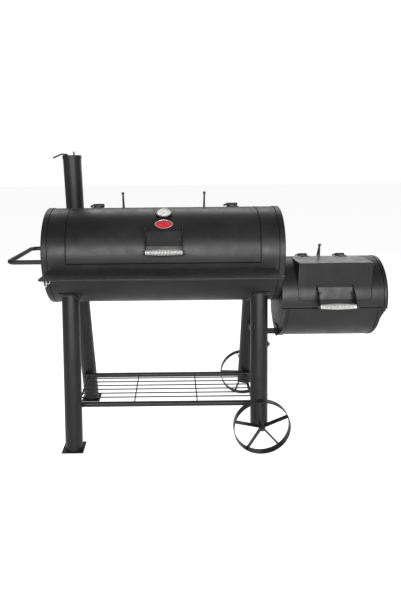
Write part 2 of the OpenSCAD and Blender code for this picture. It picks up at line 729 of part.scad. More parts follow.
// Flat disc that turns on the stud behind the stack, with a bent rod to turn it.
module stack_damper() color("gray") at_floor() {
    difference() {
        union() {
            translate([stack_x, stack_y, stack_top + 0.4]) cylinder(r = stack_d / 2 + 2, h = 3);
            translate([stack_x, pivot_y, stack_top + 0.4]) cylinder(r = 11, h = 3);
        }
        translate([stack_x, pivot_y, stack_top - 5]) cylinder(r = 4.05, h = 40);
    }
    rod([stack_x - 22, stack_y, stack_top + 7], [stack_x - 53, stack_y, stack_top + 10], 4);
    translate([stack_x - 53, stack_y, stack_top + 10]) sphere(r = 4);
    rod([stack_x - 53, stack_y, stack_top + 10], [stack_x - 100, stack_y, stack_top - 9], 4);
}

barrel_shell();
lid_lip();
end_cap_left();
end_cap_right();
smoke_stack();
stack_collar();
shelf();
shelf_brackets();
tool_hooks();
pull_handle();
leg_front_left();
leg_rear_left();
leg_front_right();
leg_rear_right();
leg_saddles();
foot_front_left();
foot_rear_left();
rack_tube_front();
rack_tube_rear();
rack_wires();
axle();
leg_brace();
brace_bolts();
support_arm();
firebox_shell();
firebox_end_left();
firebox_end_right();
hinge_bases();
hinge_pins();
lid_stops();
cooking_grate_left();
cooking_grate_right();
grate_rails();
charcoal_tray();
lid_shell();
lid_hinge_leaves();
lid_handle_bracket();
lid_handle_grip();
lid_handle_rod();
thermometer_case();
thermometer_bezel();
thermometer_dial();
thermometer_glass();
name_plate();
thermometer_needle();
firebox_lid();
firebox_lid_leaves();
firebox_handle_bracket();
firebox_handle_grip();
firebox_handle_rod();
ash_drawer();
drawer_handle_bracket();
drawer_handle_grip();
drawer_handle_rod();
fire_grate();
air_damper();
stack_damper();
wheel_front();
wheel_rear();
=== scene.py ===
"""Looks of the offset charcoal smoker: camera, studio, materials and the pieces with the fine detail."""
import json
import math

import bmesh
import bpy
from mathutils import Matrix, Vector


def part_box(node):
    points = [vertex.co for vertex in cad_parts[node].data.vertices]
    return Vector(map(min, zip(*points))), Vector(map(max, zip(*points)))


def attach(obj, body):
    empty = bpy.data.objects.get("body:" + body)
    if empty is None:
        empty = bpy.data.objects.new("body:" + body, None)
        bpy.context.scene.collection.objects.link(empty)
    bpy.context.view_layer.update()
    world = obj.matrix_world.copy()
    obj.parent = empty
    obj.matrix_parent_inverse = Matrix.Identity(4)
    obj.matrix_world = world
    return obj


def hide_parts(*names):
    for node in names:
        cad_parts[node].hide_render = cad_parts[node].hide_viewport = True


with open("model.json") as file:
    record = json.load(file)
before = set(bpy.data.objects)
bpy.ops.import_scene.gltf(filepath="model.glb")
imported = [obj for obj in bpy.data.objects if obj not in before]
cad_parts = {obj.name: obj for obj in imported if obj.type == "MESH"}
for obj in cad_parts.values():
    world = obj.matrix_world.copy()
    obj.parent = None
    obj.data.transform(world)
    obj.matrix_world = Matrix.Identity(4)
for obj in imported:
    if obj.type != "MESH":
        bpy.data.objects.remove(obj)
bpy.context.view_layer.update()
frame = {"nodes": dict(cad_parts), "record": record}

MM = 0.001
FLANGE_DEPTH = 17 * MM
LEFT_FLANGE_DEPTH = 13 * MM
SEAM_WIDTH = 2.6 * MM
SEAM_DEPTH = 1 * MM
SEAM_LIFT = 0.5 * MM
SEAM_OFFSET = 1.4 * MM

# ---- where things are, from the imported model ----

cap_low, cap_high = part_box("end_cap_left")
shell_low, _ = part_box("barrel_shell")
BARREL_Y = (cap_low.y + cap_high.y) / 2
BARREL_Z = (cap_low.z + cap_high.z) / 2
BARREL_R = BARREL_Z - shell_low.z

end_low, end_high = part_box("firebox_end_left")
fire_low, fire_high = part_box("firebox_shell")
FIRE_Z = end_high.z - (end_high.y - end_low.y) / 2
FIRE_R = fire_high.z - FIRE_Z
drawer_low, drawer_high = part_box("ash_drawer")
DRAWER_R = FIRE_Z - drawer_low.z


def on_drum(x, elevation, radius, axis_z):
    """A point on a drum about an X axis; elevation 0 is the front, 90 the top, in degrees."""
    e = math.radians(elevation)
    return Vector((x, BARREL_Y - radius * math.cos(e), axis_z + radius * math.sin(e)))


def drum_normal(elevation):
    """The direction out of a drum at an elevation."""
    e = math.radians(elevation)
    return Vector((0, -math.cos(e), math.sin(e)))


def barrel_elevation(point):
    """The elevation of a point seen from the barrel's axis."""
    return math.degrees(math.atan2(point.z - BARREL_Z, BARREL_Y - point.y))


def put(name, data):
    """A new object in the scene."""
    made = bpy.data.objects.new(name, data)
    bpy.context.collection.objects.link(made)
    return made


# ---- camera ----

PITCH = 0.2793
YAW = 0.0042
ROLL = 0.0093
CAMERA_PLACE = (-0.150, -2.5935, 1.398)
camera_data = bpy.data.cameras.new("camera")
camera_data.lens = 30.15
camera_data.sensor_width = 36
camera_data.shift_x = 0.0396
camera_data.shift_y = 0.0190
camera = put("camera", camera_data)
forward = Vector((math.sin(YAW) * math.cos(PITCH), math.cos(YAW) * math.cos(PITCH), -math.sin(PITCH)))
level = Vector((math.cos(YAW), -math.sin(YAW), 0))
upward = level.cross(forward)
camera_x = level * math.cos(ROLL) - upward * math.sin(ROLL)
camera_y = level * math.sin(ROLL) + upward * math.cos(ROLL)
turn = Matrix((camera_x, camera_y, -forward)).transposed()
camera.matrix_world = Matrix.Translation(CAMERA_PLACE) @ turn.to_4x4()
bpy.context.scene.camera = camera

# ---- materials ----


def new_material(name):
    """A node material with its tree's nodes, its links and its shader."""
    material = bpy.data.materials.new(name)
    material.use_nodes = True
    nodes = material.node_tree.nodes
    return material, nodes, material.node_tree.links, nodes["Principled BSDF"]


def noise(nodes, links, place, scale, detail):
    """Soft random spots, scale of them to a metre."""
    node = nodes.new("ShaderNodeTexNoise")
    node.inputs["Scale"].default_value = scale
    node.inputs["Detail"].default_value = detail
    node.inputs["Roughness"].default_value = 0.55
    links.new(place, node.inputs["Vector"])
    return node.outputs["Fac"]


def ramp(nodes, links, value, low, high):
    """Maps the middle of a noise's range to low..high."""
    node = nodes.new("ShaderNodeMapRange")
    node.inputs["From Min"].default_value = 0.35
    node.inputs["From Max"].default_value = 0.65
    node.inputs["To Min"].default_value = low
    node.inputs["To Max"].default_value = high
    links.new(value, node.inputs["Value"])
    return node.outputs["Result"]


def finish_of(name, dark, light, rough, metallic=0.0, patch=7.0, grain=900.0, bump=0.05,
              coat=0.0, specular=0.5, wave=0.0):
    """A finish whose colour drifts between two tones, with its own roughness drift and surface grain."""
    material, nodes, links, shader = new_material(name)
    place = nodes.new("ShaderNodeTexCoord").outputs["Object"]
    mix = nodes.new("ShaderNodeMix")
    mix.data_type = "RGBA"
    mix.inputs["A"].default_value = (*dark, 1)
    mix.inputs["B"].default_value = (*light, 1)
    drift = noise(nodes, links, place, patch, 5.0)
    links.new(ramp(nodes, links, drift, 0, 1), mix.inputs["Factor"])
    links.new(mix.outputs["Result"], shader.inputs["Base Color"])
    smear = noise(nodes, links, place, patch * 3.3, 6.0)
    links.new(ramp(nodes, links, smear, rough[0], rough[1]), shader.inputs["Roughness"])
    fine = nodes.new("ShaderNodeBump")
    fine.inputs["Strength"].default_value = bump
    fine.inputs["Distance"].default_value = 0.0006
    links.new(noise(nodes, links, place, grain, 2.0), fine.inputs["Height"])
    if wave:
        coarse = nodes.new("ShaderNodeBump")
        coarse.inputs["Strength"].default_value = wave
        coarse.inputs["Distance"].default_value = 0.01
        links.new(noise(nodes, links, place, 5.0, 1.0), coarse.inputs["Height"])
        links.new(coarse.outputs["Normal"], fine.inputs["Normal"])
    links.new(fine.outputs["Normal"], shader.inputs["Normal"])
    shader.inputs["Metallic"].default_value = metallic
    shader.inputs["Coat Weight"].default_value = coat
    shader.inputs["Coat Roughness"].default_value = 0.12
    shader.inputs["Specular IOR Level"].default_value = specular
    return material


def glass_finish(name):
    """A thin clear pane with a faint haze."""
    material, nodes, links, shader = new_material(name)
    coords = nodes.new("ShaderNodeTexCoord")
    haze = noise(nodes, links, coords.outputs["Object"], 60, 4.0)
    links.new(ramp(nodes, links, haze, 0.02, 0.09), shader.inputs["Roughness"])
    tint = nodes.new("ShaderNodeMix")
    tint.data_type = "RGBA"
    tint.inputs["A"].default_value = (0.96, 0.98, 0.98, 1)
    tint.inputs["B"].default_value = (1, 1, 1, 1)
    links.new(haze, tint.inputs["Factor"])
    links.new(tint.outputs["Result"], shader.inputs["Base Color"])
    shader.inputs["Alpha"].default_value = 0.16
    return material


FINISHES = {
    "black_paint": finish_of("black_paint", (0.008, 0.008, 0.0085), (0.015, 0.015, 0.016), (0.34, 0.46),
                             patch=5.0, grain=1100.0, bump=0.10, wave=0.018, specular=0.36),
    "dark_steel": finish_of("dark_steel", (0.035, 0.035, 0.037), (0.075, 0.075, 0.078), (0.28, 0.46),
                            metallic=0.75, patch=40.0, grain=600.0, bump=0.08),
    "bright_coil": finish_of("bright_coil", (0.70, 0.70, 0.69), (0.86, 0.86, 0.85), (0.32, 0.46),
                             metallic=0.4, patch=55.0, grain=900.0, bump=0.06),
    "bright_rim": finish_of("bright_rim", (0.42, 0.42, 0.43), (0.62, 0.62, 0.62), (0.14, 0.28),
                            metallic=1.0, patch=60.0, grain=700.0, bump=0.03),
    "cast_iron": finish_of("cast_iron", (0.020, 0.019, 0.018), (0.048, 0.045, 0.042), (0.55, 0.78),
                           metallic=0.2, patch=22.0, grain=420.0, bump=0.35),
    "dial_white": finish_of("dial_white", (0.84, 0.84, 0.82), (0.92, 0.92, 0.90), (0.38, 0.52),
                            patch=70.0, grain=900.0, bump=0.02),
    "dial_glass": glass_finish("dial_glass"),
    "needle_black": finish_of("needle_black", (0.012, 0.012, 0.012), (0.03, 0.03, 0.03), (0.35, 0.5),
                              patch=90.0, grain=900.0, bump=0.03),
    "red_plate": finish_of("red_plate", (0.42, 0.018, 0.030), (0.56, 0.040, 0.050), (0.22, 0.34),
                           patch=60.0, grain=800.0, bump=0.04, coat=0.4),
    "plate_rim": finish_of("plate_rim", (0.62, 0.55, 0.54), (0.80, 0.75, 0.74), (0.22, 0.36),
                           metallic=0.7, patch=80.0, grain=700.0, bump=0.04),
    "weld": finish_of("weld", (0.018, 0.018, 0.019), (0.038, 0.038, 0.040), (0.32, 0.52),
                      patch=60.0, grain=260.0, bump=0.3),
    # painted shadow: a near-black, rough, almost unreflective finish, laid over seam gaps and round the
    # thermometer bezel where shade falls
    "painted_gap_shadow": finish_of("painted_gap_shadow", (0.0015, 0.0015, 0.0015), (0.004, 0.004, 0.004), (0.85, 0.95),
                      patch=30.0, grain=300.0, bump=0.1, specular=0.05),
    "ink_red": finish_of("ink_red", (0.50, 0.03, 0.03), (0.62, 0.06, 0.05), (0.4, 0.5),
                         patch=90.0, grain=900.0, bump=0.02),
}

slot_of = {row["node"]: row["material_slot"] for row in frame["record"]["subparts"]}
for node_name, node_object in frame["nodes"].items():
    node_object.data.materials.clear()
    node_object.data.materials.append(FINISHES[slot_of[node_name]])

# ---- building pieces ----


def piece(name, verts, faces, slot_names, body, face_slots):
    """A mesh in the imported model's frame, on a body, with one finish or several picked per face."""
    mesh = bpy.data.meshes.new(name)
    mesh.from_pydata([tuple(v) for v in verts], [], faces)
    for slot_name in slot_names:
        mesh.materials.append(FINISHES[slot_name])
    for polygon, index in zip(mesh.polygons, face_slots):
        polygon.material_index = index
    shape = bmesh.new()
    shape.from_mesh(mesh)
    bmesh.ops.recalc_face_normals(shape, faces=shape.faces)
    shape.to_mesh(mesh)
    shape.free()
    mesh.polygons.foreach_set("use_smooth", [True] * len(mesh.polygons))
    mesh.set_sharp_from_angle(angle=math.radians(38))
    made = put(name, mesh)
    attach(made, body)
    return made


def circle(centre, across, side, radius, count=48):
    """Points of a circle round a centre, in the plane of two directions."""
    turns = [2 * math.pi * k / count for k in range(count)]
    return [centre + radius * (math.cos(t) * across + math.sin(t) * side) for t in turns]


def tube_faces(rings, count, closed=False):
    """Faces between neighbouring rings of count points, with a flat face at each end of an open tube."""
    faces = []
    for i in range(rings if closed else rings - 1):
        a, b = i * count, (i + 1) % rings * count
        for k in range(count):
            n = (k + 1) % count
            faces.append((a + k, a + n, b + n, b + k))
    if not closed:
        faces.append(tuple(range(count)))
        faces.append(tuple(range((rings - 1) * count, rings * count)))
    return faces


class Shape:
    """Vertices and faces that are gathered before one mesh is made of them."""

    def __init__(self):
        self.verts = []
        self.faces = []
        self.slots = []

    def add(self, verts, faces, slot=0):
        """Adds a part; slot picks one of the finishes that make() is given."""
        base = len(self.verts)
        self.verts += verts
        self.faces += [tuple(base + i for i in face) for face in faces]
        self.slots += [slot] * len(faces)

    def sweep(self, points, radius, sides=8, closed=False, slot=0):
        """A tube along points. radius is a number or one number for each point."""
        count = len(points)
        radii = radius if isinstance(radius, list) else [radius] * count
        verts = []
        normal = None
        for i, point in enumerate(points):
            ahead = points[(i + 1) % count] if closed or i < count - 1 else point
            behind = points[i - 1] if closed or i > 0 else point
            tangent = (ahead - behind).normalized()
            if normal is None:
                normal = tangent.orthogonal().normalized()
            normal = (normal - tangent * normal.dot(tangent)).normalized()
            verts += circle(point, normal, tangent.cross(normal), radii[i], sides)
        self.add(verts, tube_faces(count, sides, closed), slot)

    def revolve(self, centre, axis, profile, sides):
        """A solid of revolution; profile is a list of (distance along the axis, radius)."""
        axis = axis.normalized()
        across = axis.orthogonal().normalized()
        side = axis.cross(across)
        verts = []
        for height, radius in profile:
            verts += circle(centre + axis * height, across, side, radius, sides)
        self.add(verts, tube_faces(len(profile), sides))

    def dome(self, centre, axis, r):
        """A round-headed rivet of radius r."""
        rows = [(-0.2 * r, r)] + [(r * 0.62 * math.sin(t), r * math.cos(t)) for t in (0, 0.4, 0.8, 1.15, 1.4)]
        self.revolve(centre, axis, rows, 20)

    def bead(self, points, radius, closed=False, slot=0):
        """A weld bead: a tube whose thickness ripples along its length."""
        radii = []
        for i in range(len(points)):
            ripple = 0.22 * math.sin(i * 2.1) + 0.08 * math.sin(i * 0.37)
            radii.append(radius * (1 + ripple))
        self.sweep(points, radii, 8, closed, slot)

    def arc_band(self, axis_z, profile, start, end):
        """A profile of (x, radius) corners swept round an X axis from one elevation to another."""
        steps = 72
        verts = []
        for i in range(steps + 1):
            e = start + (end - start) * i / steps
            verts += [on_drum(x, e, radius, axis_z) for x, radius in profile]
        self.add(verts, tube_faces(steps + 1, len(profile)))

    def level_line(self, x0, x1, elevation, r, axis_z, width):
        """A thin strip along a drum from x0 to x1, a little proud of its sheet."""
        half = math.degrees(width / 2 / r)
        inner, outer = r - SEAM_DEPTH, r + SEAM_LIFT
        section = ((elevation - half, inner), (elevation - half, outer),
                   (elevation + half, outer), (elevation + half, inner))
        verts = [on_drum(x, e, radius, axis_z) for x in (x0, x1) for e, radius in section]
        faces = [(0, 1, 2, 3), (7, 6, 5, 4)]
        faces += [(k, (k + 1) % 4, (k + 1) % 4 + 4, k + 4) for k in range(4)]
        self.add(verts, faces)

    def seam_ring(self, x, r, axis_z, start, end):
        """A thin strip round a drum from one elevation to another, a little proud of its sheet."""
        half = SEAM_WIDTH / 2
        inner, outer = r - SEAM_DEPTH, r + SEAM_LIFT
        section = [(x - half, inner), (x - half, outer), (x + half, outer), (x + half, inner)]
        self.arc_band(axis_z, section, start, end)

    def make(self, name, slot_names, body):
        """Makes one piece of everything added so far."""
        return piece(name, self.verts, self.faces, slot_names, body, self.slots)


# ---- spring grips ----

SPRING_TURNS = 26


def spring_grip(name, node, body):
    """A wound spring on its rod, fuller in the middle, with a closing turn at each end."""
    low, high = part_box(node)
    size = high - low
    along = Vector((1, 0, 0)) if size.x > size.y else Vector((0, 1, 0))
    length = size.dot(along)
    centre = (low + high) / 2
    up = Vector((0, 0, 1))
    side = along.cross(up)
    wire = 2.3 * MM
    tight = 8.6 * MM
    full = min(size.y, size.z) / 2 - wire
    half = length / 2 - wire
    steps = SPRING_TURNS * 16
    points = []
    for i in range(steps + 1):
        t = i / steps
        even = 2 * t - 1
        eased = math.sin((t - 0.5) * math.pi)
        reach = half * (0.90 * even + 0.10 * eased)
        belly = math.sin(math.pi * t) ** 1.3
        r = tight + (full - tight) * belly
        a = 2 * math.pi * SPRING_TURNS * t
        points.append(centre + along * reach + r * (math.cos(a) * up + math.sin(a) * side))
    shape = Shape()
    shape.sweep(points, wire, 8)
    for end in (-1, 1):
        shape.sweep(circle(centre + along * end * half, up, side, tight, 20), wire, 8, closed=True)
    made = shape.make(name, ["bright_coil"], body)
    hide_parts(node)


spring_grip("main_lid_spring", "lid_handle_grip", "main_lid")
spring_grip("firebox_lid_spring", "firebox_handle_grip", "fire_lid")
spring_grip("drawer_spring", "drawer_handle_grip", "drawer")

# ---- perforated shelf with a rolled hem ----

HEM_TUBE = 5 * MM


def shelf_frame():
    """The left, right and front lines of the shelf's hem, and the height of its top."""
    low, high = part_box("shelf")
    return low.x + HEM_TUBE, high.x - HEM_TUBE, low.y + HEM_TUBE, high.z


def shelf_sheet():
    """The sheet in strips, with staggered round holes in every strip but the first and the last."""
    x0, x1, y0, top = shelf_frame()
    y1 = BARREL_Y - math.sqrt(BARREL_R ** 2 - (BARREL_Z - top) ** 2) + 1 * MM
    pitch, hole, margin = 18 * MM, 4.1 * MM, 12 * MM
    thickness = 2 * MM
    columns = int((x1 - x0 - 2 * margin) / pitch)
    rows = int((y1 - y0 - 2 * margin) / pitch)
    side = (x1 - x0 - columns * pitch) / 2
    ends = (y1 - y0 - rows * pitch) / 2
    lines = [y0] + [y0 + ends + i * pitch for i in range(rows + 1)] + [y1]
    last_strip = len(lines) - 2
    sheet = bmesh.new()
    seen = {}

    def corner(x, y):
        """The sheet's vertex at a place, made once and shared by the faces round it."""
        key = (round(x * 1e6), round(y * 1e6))
        if key not in seen:
            seen[key] = sheet.verts.new((x, y, top))
        return seen[key]

    for strip, (front, rear) in enumerate(zip(lines, lines[1:])):
        mid_y = (front + rear) / 2
        shift = pitch / 2 if strip % 2 else 0
        xs = [x0 + side + shift + i * pitch for i in range(columns + (0 if shift else 1))]
        for edge, near, step in ((x0, xs[0], x0 + side), (x1, xs[-1], x1 - side)):
            between = [step] if shift else []
            row = [edge] + between + [near]
            lower = [corner(x, front) for x in row]
            upper = [corner(x, rear) for x in row[::-1]]
            sheet.faces.new(lower + [corner(near, mid_y)] + upper)
        for left, right in zip(xs, xs[1:]):
            mid_x = (left + right) / 2
            places = ((left, front), (mid_x, front), (right, front), (right, mid_y),
                      (right, rear), (mid_x, rear), (left, rear), (left, mid_y))
            rim = [corner(x, y) for x, y in places]
            if strip in (0, last_strip):
                sheet.faces.new(rim)
                continue
            cut = [sheet.verts.new((mid_x + hole * math.cos(t), mid_y + hole * math.sin(t), top))
                   for t in [math.radians(225 + 45 * k) for k in range(8)]]
            for k in range(8):
                n = (k + 1) % 8
                sheet.faces.new((rim[k], rim[n], cut[n], cut[k]))
    under = bmesh.ops.extrude_face_region(sheet, geom=list(sheet.faces))
    for v in [g for g in under["geom"] if isinstance(g, bmesh.types.BMVert)]:
        v.co.z -= thickness
    bmesh.ops.recalc_face_normals(sheet, faces=sheet.faces)
    mesh = bpy.data.meshes.new("shelf_sheet")
    sheet.to_mesh(mesh)
    sheet.free()
    mesh.materials.append(FINISHES["black_paint"])
    made = put("shelf_sheet", mesh)
    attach(made, "frame")
    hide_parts("shelf")


def shelf_hem():
    """A rolled hem round the three free sides, welded to the barrel at both ends."""
    x0, x1, y0, top = shelf_frame()
    hem = Shape()
    bend = 9 * MM
    z = top - HEM_TUBE
    back = BARREL_Y - BARREL_R - 0.5 * MM
    path = [Vector((x0, back, z))]
    for cx, start in ((x0 + bend, 180), (x1 - bend, 270)):
        for k in range(9):
            t = math.radians(start + 90 * k / 8)
            path.append(Vector((cx + bend * math.cos(t), y0 + bend + bend * math.sin(t), z)))
    path.append(Vector((x1, back, z)))
    hem.sweep(path, HEM_TUBE, 14)
    for x in (x0, x1):
        ring = circle(Vector((x, back, z)), Vector((1, 0, 0)), Vector((0, 0, 1)), 6 * MM, 24)
        hem.bead(ring, 1.6 * MM, closed=True, slot=1)
    hem.make("shelf_hem", ["black_paint", "weld"], "frame")


shelf_sheet()
shelf_hem()

# ---- name plate, plain ----


def plain_plate():
    """A pointed oval plate that follows the lid, with a bright rim round a slightly domed field."""
    low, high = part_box("name_plate")
    middle = (low + high) / 2
    e0 = barrel_elevation(middle)
    half_x = (high.x - low.x) / 2
    half_s = 27 * MM
    count = 64

    def ring(scale, lift):
        """The plate's outline at a scale of its own, lift mm off the lid."""
        points = []
        for k in range(count):
            t = 2 * math.pi * k / count
            u = half_x * scale * math.cos(t)
            v = half_s * scale * math.copysign(abs(math.sin(t)) ** 1.25, math.sin(t))
            e = e0 + math.degrees(v / BARREL_R)
            points.append(on_drum(middle.x + u, e, BARREL_R + lift * MM, BARREL_Z))
        return points

    rim = [(0.985, 0.02), (1.0, 0.5), (1.0, 1.5), (0.985, 1.9), (0.93, 1.9), (0.915, 1.5)]
    field = [(0.9, 1.1), (0.6, 1.2), (0.3, 1.25)]
    rings = [ring(scale, lift) for scale, lift in rim + field]
    verts = [v for r in rings for v in r] + [on_drum(middle.x, e0, BARREL_R + 1.3 * MM, BARREL_Z)]
    faces, picks = [tuple(range(count))], [1]
    for i in range(len(rings) - 1):
        for k in range(count):
            n = (k + 1) % count
            faces.append((i * count + k, i * count + n, (i + 1) * count + n, (i + 1) * count + k))
            picks.append(1 if i < len(rim) - 1 else 0)
    last = (len(rings) - 1) * count
    for k in range(count):
        faces.append((last + k, last + (k + 1) % count, len(verts) - 1))
        picks.append(0)
    made = piece("plain_red_plate", verts, faces, ["red_plate", "plate_rim"], "main_lid", picks)
    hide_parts("name_plate")


plain_plate()

# ---- thermometer marks; radii and lifts are in mm, and angles in degrees ----

DIAL_START = 225
DIAL_SWEEP = 270
MINOR_MARKS = 30
MARKS_PER_NUMBER = 5
NUMBER_STEP = 50
SCALE_R = 33.4

dial_low, dial_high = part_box("thermometer_dial")
dial_middle = (dial_low + dial_high) / 2
dial_out = drum_normal(barrel_elevation(dial_middle))
dial_right = Vector((1, 0, 0))
dial_up = dial_out.cross(dial_right)
dial_face = dial_middle + dial_out * 0.52 * MM


def dial_spot(angle, radius, lift):
    """A point on the dial's face."""
    a = math.radians(angle)
    way = math.cos(a) * dial_right + math.sin(a) * dial_up
    return dial_face + radius * MM * way + dial_out * lift * MM


def dial_mark(shape, corners, slot):
    """A thin flat mark with these corners."""
    under = [corner - dial_out * 0.3 * MM for corner in corners]
    n = len(corners)
    faces = [tuple(range(n)), tuple(range(2 * n - 1, n - 1, -1))]
    faces += [(k, (k + 1) % n, n + (k + 1) % n, n + k) for k in range(n)]
    shape.add(corners + under, faces, slot)


def dial_scale():
    """Lines round the dial, and an arc with a wide red third in the middle."""
    shape = Shape()
    for i in range(MINOR_MARKS + 1):
        angle = DIAL_START - DIAL_SWEEP * i / MINOR_MARKS
        major = i % MARKS_PER_NUMBER == 0
        inner, half = (26.5, 0.62) if major else (29.5, 0.32)
        a = math.radians(angle)
        across = (math.cos(a) * dial_up - math.sin(a) * dial_right) * half * MM
        low, high = dial_spot(angle, inner, 0.12), dial_spot(angle, 33.0, 0.12)
        dial_mark(shape, [low - across, low + across, high + across, high - across], 0)
    steps = 18
    third = DIAL_SWEEP / 3
    for part, slot in enumerate((0, 1, 0)):
        arc = [DIAL_START - third * (part + k / steps) for k in range(steps + 1)]
        width = 1.6 if slot else 0.5
        outer = [dial_spot(angle, SCALE_R, 0.1) for angle in arc]
        inner = [dial_spot(angle, SCALE_R - width, 0.1) for angle in arc]
        dial_mark(shape, outer + inner[::-1], slot)
    shape.make("dial_scale", ["needle_black", "ink_red"], "main_lid")


def dial_numbers():
    """Generic numbers from NUMBER_STEP up, one at each long line."""
    numbers = Shape()
    depsgraph = bpy.context.evaluated_depsgraph_get()
    for i in range(0, MINOR_MARKS + 1, MARKS_PER_NUMBER):
        angle = DIAL_START - DIAL_SWEEP * i / MINOR_MARKS
        curve = bpy.data.curves.new("number", "FONT")
        curve.body = str(NUMBER_STEP * (i // MARKS_PER_NUMBER + 1))
        curve.size = 7.0 * MM
        curve.align_x = "CENTER"
        curve.align_y = "CENTER"
        curve.extrude = 0.1 * MM
        holder = put("number", curve)
        depsgraph.update()
        flat = bpy.data.meshes.new_from_object(holder.evaluated_get(depsgraph))
        centre = dial_spot(angle, 20.5, 0.15)
        verts = [centre + dial_right * v.co.x + dial_up * v.co.y + dial_out * v.co.z for v in flat.vertices]
        numbers.add(verts, [tuple(p.vertices) for p in flat.polygons])
        bpy.data.objects.remove(holder)
        bpy.data.meshes.remove(flat)
    numbers.make("dial_numbers", ["needle_black"], "main_lid")


dial_scale()
dial_numbers()

# ---- rolled edges, seams and flanges ----


def lid_edge(name, node, body, drum, foot, top, bend, tube, counts):
    """A rolled edge along the lower side and up both ends of a lid, from elevation top down to foot.

    drum is the radius and height of the lid's axis, bend the radius of the lower corners, and counts the
    steps up an end, round a corner and along the foot.
    """
    radius, axis_z = drum
    side_count, bend_count, run_count = counts
    low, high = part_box(node)
    inset = 3 * MM
    r = radius + 0.2 * MM
    x0, x1 = low.x + inset, high.x - inset
    rise = math.degrees(bend / radius)
    climb = (top - foot - rise) / side_count
    path = [on_drum(x0, top - k * climb, r, axis_z) for k in range(side_count + 1)]
    for k in range(1, bend_count + 1):
        t = math.radians(90 * k / bend_count)
        path.append(on_drum(x0 + bend * (1 - math.cos(t)), foot + rise * (1 - math.sin(t)), r, axis_z))
    for k in range(1, run_count):
        path.append(on_drum(x0 + bend + (x1 - x0 - 2 * bend) * k / run_count, foot, r, axis_z))
    for k in range(bend_count):
        t = math.radians(90 * k / bend_count)
        path.append(on_drum(x1 - bend * (1 - math.sin(t)), foot + rise * (1 - math.cos(t)), r, axis_z))
    path += [on_drum(x1, foot + rise + k * climb, r, axis_z) for k in range(side_count + 1)]
    shape = Shape()
    shape.sweep(path, tube)
    shape.make(name, ["black_paint"], body)


def flange(shape, r, x_rim, x_seam, start, end):
    """A sheet flange that sleeves over a firebox drum end: x_rim is at the end, x_seam on the drum."""
    way = 1 if x_rim > x_seam else -1
    soft = 2.2 * MM
    lift = 1.3 * MM
    profile = [(x_seam, r - 0.6 * MM), (x_seam, r + lift * 0.7), (x_seam + way * 0.8 * MM, r + lift),
               (x_rim - way * soft, r + lift), (x_rim - way * 0.6 * MM, r + lift - 0.6 * MM),
               (x_rim, r + lift - soft), (x_rim, r - 1.6 * MM), (x_rim - way * 0.5 * MM, r - 1.6 * MM),
               (x_rim - way * 0.5 * MM, r - 0.6 * MM)]
    shape.arc_band(FIRE_Z, profile, start, end)


lid_edge("main_lid_edge", "lid_shell", "main_lid", (BARREL_R, BARREL_Z), 1.2, 100,
         6 * MM, 1.8 * MM, (48, 6, 24))
lid_edge("firebox_lid_edge", "firebox_lid", "fire_lid", (FIRE_R, FIRE_Z), 9.0, 27.0,
         20 * MM, 1.4 * MM, (10, 8, 16))
shell_flange = Shape()
flange(shell_flange, FIRE_R, fire_high.x + 0.3 * MM, fire_high.x - FLANGE_DEPTH, -1.5, 181.5)
shell_flange.make("firebox_flange", ["black_paint"], "frame")
drawer_flanges = Shape()
flange(drawer_flanges, DRAWER_R, drawer_high.x + 0.3 * MM, drawer_high.x - FLANGE_DEPTH, -3, -177)
flange(drawer_flanges, DRAWER_R, drawer_low.x - 0.3 * MM, drawer_low.x + LEFT_FLANGE_DEPTH, -3, -177)
drawer_flanges.make("drawer_flanges", ["black_paint"], "drawer")

# ---- welds, rolled rims, rivets, and painted shadow along seams and round the bezel ----


def stack_weld():
    """A bead where the stack stands on the barrel."""
    low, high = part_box("stack_collar")
    outer = (high.x - low.x) / 2
    tube = outer - 2.2 * MM
    centre = Vector(((low.x + high.x) / 2, low.y + outer, 0))
    points = circle(centre, Vector((1, 0, 0)), Vector((0, 1, 0)), tube + 0.8 * MM, 120)
    for point in points:
        point.z = BARREL_Z + math.sqrt(BARREL_R ** 2 - (point.y - BARREL_Y) ** 2) + 0.6 * MM
    shape = Shape()
    shape.bead(points, 2.7 * MM, closed=True)
    shape.make("stack_weld", ["weld"], "frame")


def pull_handle_welds():
    """Beads where the two bars of the pull handle meet the left end of the barrel."""
    low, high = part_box("pull_handle")
    bar = (high.z - low.z) / 2
    shape = Shape()
    for y in (low.y + bar, high.y - bar):
        centre = Vector((high.x - 1.2 * MM, y, (low.z + high.z) / 2))
        ring = circle(centre, Vector((0, 1, 0)), Vector((0, 0, 1)), bar + 0.8 * MM)
        shape.bead(ring, 2.2 * MM, closed=True)
    shape.make("pull_handle_welds", ["weld"], "frame")


def leg_line():
    """How far a leg stands off the barrel's middle at the brace bolts, their height, and the leg's slope."""
    foot_low, foot_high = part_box("foot_rear_left")
    foot_y = (foot_low.y + foot_high.y) / 2 - BARREL_Y
    bolt_low, bolt_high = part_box("brace_bolts")
    bolt_z = (bolt_low.z + bolt_high.z) / 2
    bolt_y = bolt_high.y - (bolt_high.z - bolt_low.z) / 2 - BARREL_Y
    return bolt_y, bolt_z, (foot_y - bolt_y) / bolt_z


def leg_top(leg, saddle_r):
    """Points round a leg's tube where it meets its saddle, each found by halving the way up the tube."""
    bolt_y, bolt_z, slope = leg_line()
    low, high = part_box(leg)
    tube = (high.x - low.x) / 2
    way = 1 if "rear" in leg else -1
    across = Vector((1, 0, 0))
    run = Vector((0, -way * slope, 1)).normalized()
    start = Vector(((low.x + high.x) / 2, BARREL_Y + way * bolt_y, bolt_z))
    points = []
    for offset in circle(Vector(), across, run.cross(across), tube + 0.6 * MM, 90):
        near, far = 0.0, BARREL_Z - bolt_z
        for _ in range(30):
            middle = (near + far) / 2
            spot = start + offset + run * middle
            inside = math.hypot(spot.y - BARREL_Y, spot.z - BARREL_Z) < saddle_r
            near, far = (near, middle) if inside else (middle, far)
        points.append(start + offset + run * near)
    return points


